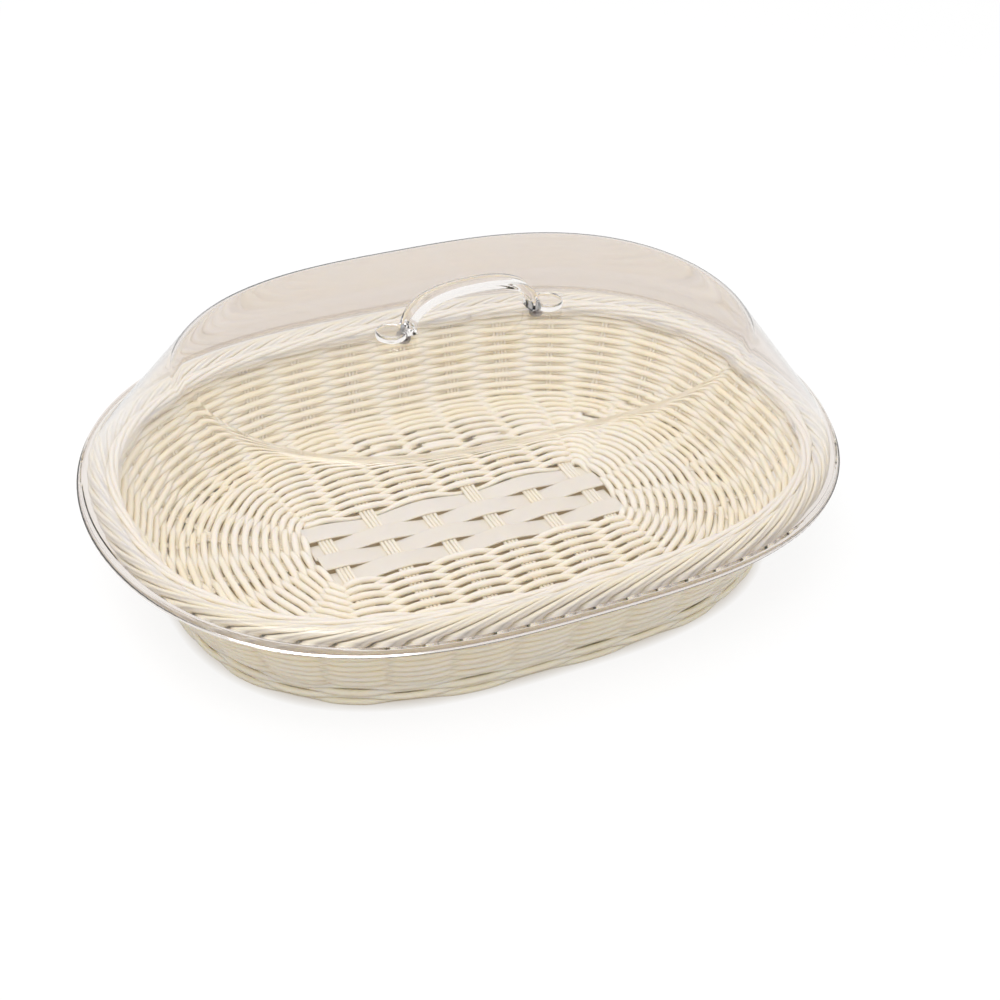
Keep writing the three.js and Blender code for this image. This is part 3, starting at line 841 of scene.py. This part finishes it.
def past_legs(t, first):
    """Steps of a row past the legs at height t: share of the oval, part of the gap, and side."""
    marks = [leg_share(leg, t) for leg in legs]
    for k, (here, after) in enumerate(zip(marks, marks[1:] + [marks[0] + 1])):
        for step in range(SPAN_STEPS):
            part = step / SPAN_STEPS
            yield here + (after - here) * part, part, first * (-1) ** k


def wall_row(t, first, seed, lift=1.0):
    """One turn of a weaver round the wall, in front of every second leg and behind the rest."""
    run, painted_shade = [], []
    for share, part, side in past_legs(t, first):
        out = over_under(part, side) * lift
        run.append(wobble(wall_place(share, t, out), seed, WEAVER_WOBBLE))
        # painted shade: warmer where the row passes behind a leg, paler in front
        painted_shade.append(-BEHIND_STAKE_SHADE * side * cos(pi * part))
    return run, painted_shade


for row in range(EDGE_ROWS):
    t = -1 + (row + 0.5) / EDGE_ROWS
    run, painted_shade = wall_row(t, (-1) ** row, SEEDS["edge"] + row)
    add_strand(bm, run, WALL_WEAVER, True, dice.random(), None, painted_shade)
finished(bm, "floor_weavers", CANE, "basket", ["base_weave"])

# %% [markdown]
# ## The wall's weave
# The weave goes on up the wall in rows that lie close on each other. Each row is made as a closed ring, so
# that no step shows where one ends. The bend takes five rows and the straight wall the rest, up to just under
# the rope.

# %% Wall weavers
BEND_ROWS = 5
WALL_ROWS = 14
WALL_LIFT = 0.85
bm = bmesh.new()
heights = [(row + 0.5) / BEND_ROWS for row in range(BEND_ROWS)]
heights += [1 + (row + 0.5) / WALL_ROWS for row in range(WALL_ROWS)]
for row, t in enumerate(heights):
    run, painted_shade = wall_row(t, (-1) ** (row + EDGE_ROWS), SEEDS["wall"] + row, WALL_LIFT)
    add_strand(bm, run, WALL_WEAVER, True, dice.random(), None, painted_shade)
finished(bm, "wall_weavers", CANE, "basket", ["wall_weave"])

# %% [markdown]
# ## The rope of the rim
# The border is plaited from the stakes' ends into a thick rope. Seen from above it is a row of slanting
# ridges, each of two strands. Seven pairs wind round a core, and because 64 ridges don't divide by seven, one
# pair passes every place in turn: two closed strands make the whole rope. Inside it a thin roll of five
# strands runs along the rim, carried by three woven rows that flare out from the wall's top.

# %% Rope border
RIDGES = 64
BUNDLES = 7
ROPE_STRAND = 1.4
ROPE_STEPS = 22
PAIR_ANGLE = 0.16
PINCH = 0.4  # how far the two strands of a ridge close up at the outer edge, which opens gaps
PINCH_TURN = 0.2
CORE_STEPS = 240
CORE_TONE = 0.9


def ring_place(line, share, section, angle, squeeze=0.0):
    """A place on the section of a ring that follows the basket's oval, 0 outwards and a quarter turn up."""
    x, y = oval.at(share)
    narrower = squeeze * abs(x) ** 4
    tangent = oval.tangent(share, line[0], line[1])
    outwards = Vector((tangent.y, -tangent.x, 0))
    place = Vector((x * (line[0] - narrower), y * line[1], line[2]))
    return (place + outwards * ((section[0] - narrower) * cos(angle))
            + Vector((0, 0, section[1] * sin(angle))))


def twisted(bm, line, section, radius, ridges, bundles, pair_angles, steps, seed, squeeze=0.0):
    """Closed strands that wind round a ring: as many trips round as there are bundles."""
    count = ridges * steps
    for k, pair in enumerate(pair_angles):
        run = []
        for i in range(count):
            trip = bundles * i / count
            turned = 2 * pi * ridges / bundles * trip
            angle = turned + pair * (1 - PINCH * max(0, cos(turned - PINCH_TURN)))
            run.append(wobble(ring_place(line, trip, section, angle, squeeze), seed + k, ROPE_WOBBLE))
        add_strand(bm, run, radius, True, 0.2 + 0.5 * dice.random())


def ring_core(bm, line, radius, squeeze=0.0):
    """A thick strand along the middle of a ring, so that no light shows through it."""
    run = [ring_place(line, i / CORE_STEPS, (0, 0), pi / 2, squeeze) for i in range(CORE_STEPS)]
    add_strand(bm, run, radius, True, CORE_TONE)


print(RIDGES, "ridges in", BUNDLES, "bundles")

# %% Rope, roll and flare
RIDGE_HALF = (6.6, 6.4)
RIDGE_RAISE = 0.4
END_SQUEEZE = 1.4  # how much nearer to its inner edge the rope's middle lies at the ends of the oval
ROPE_CORE = 2.6
ROLL_STRAND = 1.4
ROLL_INSET, ROLL_Z = 14.4, 63.8
ROLL_SECTION = (2.1, 2.1)
ROLL_RIDGES, ROLL_BUNDLES, ROLL_STEPS = 38, 5, 30
FLARE = ((12.0, 57.8), (13.4, 59.7), (14.6, 61.6))  # inset and height of the rows that carry the roll
FLARE_SWING = 1.5


def inside_rope(inset, height):
    """Half sizes and height of a ring that lies inwards of the rope's outer edge."""
    return ROPE[0] + ROPE_HALF[0] - inset, ROPE[1] + ROPE_HALF[0] - inset, height


def border_row(line, t, first, swing, seed):
    """A strand along a ring that goes in and out at the stakes as the wall's rows do."""
    run, painted_shade = [], []
    for share, part, side in past_legs(t, first):
        wave = side * sin(pi / 2 * cos(pi * part))
        run.append(wobble(ring_place(line, share, (-swing * wave, 0), 0), seed, ROPE_WOBBLE))
        # painted shade: warmer where the strand passes behind a leg, paler in front
        painted_shade.append(-BEHIND_STAKE_SHADE * wave)
    return run, painted_shade


bm = bmesh.new()
ridge_line = inside_rope(RIDGE_HALF[0], ROPE[2] + RIDGE_RAISE)
rope_section = (RIDGE_HALF[0] - ROPE_STRAND, RIDGE_HALF[1] - ROPE_STRAND)
twisted(bm, ridge_line, rope_section, ROPE_STRAND, RIDGES, BUNDLES, (-PAIR_ANGLE, PAIR_ANGLE), ROPE_STEPS,
        SEEDS["rope"], END_SQUEEZE)
ring_core(bm, ridge_line, ROPE_CORE, END_SQUEEZE)
roll_line = inside_rope(ROLL_INSET, ROLL_Z)
twisted(bm, roll_line, ROLL_SECTION, ROLL_STRAND, ROLL_RIDGES, ROLL_BUNDLES, (0.0,), ROLL_STEPS,
        SEEDS["roll"])
for row, (inset, height) in enumerate(FLARE):
    run, painted_shade = border_row(inside_rope(inset, height), 2, (-1) ** (row + 1), FLARE_SWING,
                             SEEDS["flare"] + row)
    add_strand(bm, run, WALL_WEAVER, True, dice.random(), None, painted_shade)
finished(bm, "rim_rope", SHADED_ROPE_CANE, "basket", ["rim_border"])

# %% [markdown]
# ## The foot's braid
# The basket stands on a low braid that hides where the wall turns into the floor. It is wound the same way,
# flatter and finer, and four woven rows cover it outside, so that the wall's columns run down to the table.

# %% Foot braid
FOOT_HALF = (4.0, 3.3)
FOOT_INSET = 9.0
FOOT_STRAND = 1.45
FOOT_CORE = 1.4
FOOT_RIDGES, FOOT_BUNDLES, FOOT_STEPS = 67, 4, 14
FOOT_PAIR = 0.4
FOOT_ROW_STRAND = 1.8
FOOT_ROWS = ((1.8, 4.6), (4.9, 4.1), (8.0, 3.9), (10.9, 4.3))  # height and inset
FOOT_SWING = 1.1

bm = bmesh.new()
foot_line = (foot_high.x - FOOT_INSET, foot_high.y - FOOT_INSET, FOOT_HALF[1])
foot_section = (FOOT_HALF[0] - FOOT_STRAND, FOOT_HALF[1] - FOOT_STRAND)
twisted(bm, foot_line, foot_section, FOOT_STRAND, FOOT_RIDGES, FOOT_BUNDLES, (-FOOT_PAIR, FOOT_PAIR),
        FOOT_STEPS, SEEDS["foot"])
ring_core(bm, foot_line, FOOT_CORE)
for row, (height, inset) in enumerate(FOOT_ROWS):
    line = (foot_high.x - inset, foot_high.y - inset, height)
    run, painted_shade = border_row(line, 0, (-1) ** row, FOOT_SWING, SEEDS["foot rows"] + row)
    add_strand(bm, run, FOOT_ROW_STRAND, True, dice.random(), None, painted_shade)
finished(bm, "foot_braid", CANE, "basket", ["foot_border"])

# %% [markdown]
# ## The cover
# The clear cover is one moulding: a slightly crowned panel, a rounded crease, walls that slope out to a
# ledge over the rope, and a short skirt with a lip. Its outline is drawn once as half sizes and heights, and
# a circle of edges is extruded from ring to ring along it, down the outside and back up the inside.

# %% Cover shell
COVER_ROUNDNESS = (3, 2)
COVER_HALF = (190, 135)
COVER_SIDES = 192
THICKNESS = 2.0
CROWN = 7.0
CREASE_HALF, ROOT_HALF = (155.4, 103.2), (205.2, 147.2)
LEDGE_Z = 67.95
ROOT_RISE, SKIRT_DROP = 1.8, 5.2
LIP_WIDTH, LIP_HEIGHT = 1.4, 1.8
PANEL_STEPS, WALL_STEPS = 12, 14

cover_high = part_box("cover_dome")[1] / MM
panel_top = cover_high.z
crease = (*CREASE_HALF, panel_top - CROWN)
ledge = (cover_high.x - LIP_WIDTH, cover_high.y - LIP_WIDTH, LEDGE_Z)
root = (*ROOT_HALF, LEDGE_Z + ROOT_RISE)
lip_top = (ledge[0], ledge[1], LEDGE_Z - SKIRT_DROP + LIP_HEIGHT)
cover_oval = Oval(COVER_ROUNDNESS, *COVER_HALF)


def on_panel(share):
    return crease[0] * share, crease[1] * share, panel_top - CROWN * share ** 2


def rounded(start, middle, end, steps):
    return [between(between(start, middle, k / steps), between(middle, end, k / steps), k / steps)
            for k in range(steps + 1)]


def straight(start, end, steps):
    return [between(start, end, k / steps) for k in range(1, steps)]


def cover_outline():
    """Half sizes and heights down the outside of the cover, from the panel's middle to the skirt.

    A corner is rounded from a place just before it to one just after it."""
    crease_arc = rounded(on_panel(0.975), crease, between(crease, root, 0.055), 8)
    root_arc = rounded(between(root, crease, 0.06), root, between(root, ledge, 0.4), 6)
    edge_arc = rounded(between(ledge, root, 0.3), ledge, between(ledge, lip_top, 0.5), 6)
    panel = [on_panel(k / PANEL_STEPS) for k in range(1, PANEL_STEPS)]
    wall = straight(crease_arc[-1], root_arc[0], WALL_STEPS)
    return panel + crease_arc + wall + root_arc + edge_arc + [lip_top]


def cover_place(share, outline, k, inwards):
    line = outline[k]
    after = outline[min(k + 1, len(outline) - 1)]
    before = outline[max(k - 1, 0)]
    x, y = cover_oval.at(share)
    along = cover_oval.tangent(share, line[0], line[1])
    down = Vector(((after[0] - before[0]) * x, (after[1] - before[1]) * y, after[2] - before[2]))
    if k == len(outline) - 1:
        down = Vector((0, 0, -1))
    normal = down.cross(along).normalized()
    return Vector((line[0] * x, line[1] * y, line[2])) + normal * inwards


outline = cover_outline()
last = len(outline) - 1
check = cover_place(0, outline, last, 2) - cover_place(0, outline, last, 0)
inward = 1 if check.x < 0 else -1
print("cover outline has", len(outline), "rings")

# %% Cover mesh


def grown_corners(bm, edges, corners):
    """Extrudes open edges. Gives the new corner that each old one leads to."""
    grown = bmesh.ops.extrude_edge_only(bm, edges=edges)
    fresh = {v for v in grown["geom"] if isinstance(v, bmesh.types.BMVert)}
    return [next(e.other_vert(v) for e in v.link_edges if e.other_vert(v) in fresh) for v in corners]


shares = [k / COVER_SIDES for k in range(COVER_SIDES)]
rings = [[cover_place(s, outline, k, 0) for s in shares] for k in range(len(outline))]
lip = [cover_place(s, outline, last, -inward * LIP_WIDTH) for s in shares]
inner = [[cover_place(s, outline, k, inward * THICKNESS) for s in shares] for k in range(len(outline))]
lowered = [[p - Vector((0, 0, LIP_HEIGHT)) for p in ring] for ring in (lip, inner[last])]
rings += [lip, *lowered, *inner[::-1]]

bm = bmesh.new()
bmesh.ops.create_circle(bm, cap_ends=True, cap_tris=True, segments=COVER_SIDES, radius=1.0)
centre = next(v for v in bm.verts if v.co.length < 0.5)
edge_loop = sorted((v for v in bm.verts if v is not centre),
                   key=lambda v: atan2(v.co.y, v.co.x) % (2 * pi))
centre.co = Vector((0, 0, panel_top)) * MM
for vert, place in zip(edge_loop, rings[0]):
    vert.co = place * MM
for ring in rings[1:]:
    edge_loop = grown_corners(bm, [e for e in bm.edges if e.is_boundary], edge_loop)
    for vert, place in zip(edge_loop, ring):
        vert.co = place * MM
closing = bmesh.ops.contextual_create(bm, geom=[e for e in bm.edges if e.is_boundary])
poked = bmesh.ops.poke(bm, faces=closing["faces"])
for vert in poked["verts"]:
    vert.co = Vector((0, 0, panel_top - THICKNESS)) * MM
bmesh.ops.recalc_face_normals(bm, faces=bm.faces)
for face in bm.faces:
    face.smooth = True
finished(bm, "clear_cover", CLEAR, "cover", ["cover_dome"])

# %% [markdown]
# ## The handle
# The handle is a flat clear strap bent to an arch, whose feet flow into round pads. Strap and pads are made
# apart and joined by a fine remesh, and a little smoothing then gives the soft fillets of a moulding.

# %% Handle's arch
handle_low, handle_high = (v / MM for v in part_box("handle"))
STRAP_WIDTH, STRAP_THICKNESS = 11.6, 5.2
STRAP_FLARE, FLARE_PLACES = 0.28, 5  # how much thicker the strap's feet are, and over how many places
HALF_SPAN = 35.5
ARCH_STEPS = 24
PAD_RADIUS, PAD_THICKNESS = 8.25, 4.0
STRAP_EDGE, PAD_EDGE = 1.5, 0.9
VOXEL = 0.55
pad_centre = handle_high.x - PAD_RADIUS
pad_floor = handle_low.z
strap_top = handle_high.z - STRAP_THICKNESS / 2


def arch_place(share):
    """Middle of the strap over half the arch, from the pad's top to the middle."""
    points = [Vector((-HALF_SPAN, 0, pad_floor + 1.0)), Vector((-HALF_SPAN - 1, 0, strap_top - 4.5)),
              Vector((-HALF_SPAN * 0.55, 0, strap_top)), Vector((0, 0, strap_top))]
    s, r = share, 1 - share
    return points[0] * r ** 3 + points[1] * 3 * r * r * s + points[2] * 3 * r * s * s + points[3] * s ** 3


half = [arch_place(k / ARCH_STEPS) for k in range(ARCH_STEPS + 1)]
arch = half + [Vector((-p.x, 0, p.z)) for p in half[-2::-1]]


def strap_corner(index, corner):
    before, after = arch[max(index - 1, 0)], arch[min(index + 1, len(arch) - 1)]
    tangent = (after - before).normalized()
    normal = Vector((-tangent.z, 0, tangent.x))
    flare = 1 + STRAP_FLARE * max(0, 1 - min(index, len(arch) - 1 - index) / FLARE_PLACES) ** 2
    return (arch[index] + normal * (corner[0] * STRAP_THICKNESS * flare)
            + Vector((0, corner[1] * STRAP_WIDTH, 0)))


print("arch of", len(arch), "places, its middle at", round(strap_top, 1), "mm")

# %% Handle mesh
bm = bmesh.new()
bmesh.ops.create_grid(bm, x_segments=1, y_segments=1, size=0.5)
places = {v: (v.co.x, v.co.y) for v in bm.verts}
for vert, corner in places.items():
    vert.co = strap_corner(0, corner) * MM
for index in range(1, len(arch)):
    edges = [e for e in bm.edges if e.is_boundary]
    places = dict(zip(grown_corners(bm, edges, places), places.values()))
    for vert, corner in places.items():
        vert.co = strap_corner(index, corner) * MM
bmesh.ops.contextual_create(bm, geom=[e for e in bm.edges if e.is_boundary])
bmesh.ops.recalc_face_normals(bm, faces=bm.faces)
along = [e for e in bm.edges if abs((e.verts[0].co - e.verts[1].co).y) < 1e-5 and len(e.link_faces) == 2
         and e.calc_face_angle(0) > 1]
bmesh.ops.bevel(bm, geom=along, offset=STRAP_EDGE * MM, offset_type="OFFSET", affect="EDGES", segments=4,
                profile=0.5, material=-1)
for side in (-1, 1):
    disc = bmesh.ops.create_cone(bm, cap_ends=True, segments=48, radius1=PAD_RADIUS * MM,
                                 radius2=PAD_RADIUS * MM, depth=PAD_THICKNESS * MM)
    bmesh.ops.translate(bm, verts=disc["verts"],
                        vec=Vector((side * pad_centre, 0, pad_floor + PAD_THICKNESS / 2)) * MM)
    around = set(disc["verts"])
    rims = [e for e in bm.edges if e.verts[0] in around and e.calc_face_angle(0) > 1]
    bmesh.ops.bevel(bm, geom=rims, offset=PAD_EDGE * MM, offset_type="OFFSET", affect="EDGES", segments=3,
                    profile=0.5, material=-1)
handle = finished(bm, "clear_handle", CLEAR_HANDLE, "cover", ["handle"])
joined = handle.modifiers.new("joined", "REMESH")
joined.mode = "VOXEL"
joined.voxel_size = VOXEL * MM
joined.use_smooth_shade = True
fillets = handle.modifiers.new("fillets", "SMOOTH")
fillets.factor = 0.5
fillets.iterations = 6

# %% [markdown]
# ## The screws
# Two small steel screws hold the handle from under the panel: a pan head against the panel's underside and
# a shank up through it. A profile spun round its axis makes each one, like a turned screw.

# %% Screws
SHANK, SHANK_TIP = 1.5, 1.1
HEAD_HEIGHT = 2.4
for name in ("left", "right"):
    low, high = (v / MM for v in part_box(f"handle_screw_{name}"))
    middle = (low + high) / 2
    head, tip = (high.x - low.x) / 2, high.z - low.z
    profile = [(0, 0), (head - 0.8, 0), (head - 0.2, 0.35), (head, 0.9), (head, HEAD_HEIGHT),
               (SHANK, HEAD_HEIGHT), (SHANK, tip - 0.4), (SHANK_TIP, tip), (0, tip)]
    bm = bmesh.new()
    chain = [bm.verts.new(Vector((middle.x + r, middle.y, low.z + z)) * MM) for r, z in profile]
    edges = [bm.edges.new(pair) for pair in zip(chain, chain[1:])]
    bmesh.ops.spin(bm, geom=chain + edges, cent=Vector((middle.x, middle.y, 0)) * MM, axis=(0, 0, 1),
                   angle=2 * pi, steps=32, use_merge=True)
    bmesh.ops.remove_doubles(bm, verts=bm.verts, dist=1e-6)
    bmesh.ops.recalc_face_normals(bm, faces=bm.faces)
    for face in bm.faces:
        face.smooth = face.normal.z ** 2 < 0.9
    finished(bm, f"screw_{name}", STEEL, "cover", [f"handle_screw_{name}"])

# %% [markdown]
# ## Sizes
# The finished look should keep the CAD's size, so the box round it is printed.

# %% Sizes and finish
bpy.data.objects.remove(maker)
low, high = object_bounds()
print("visual box", [round(v, 4) for v in (*low, *high)])
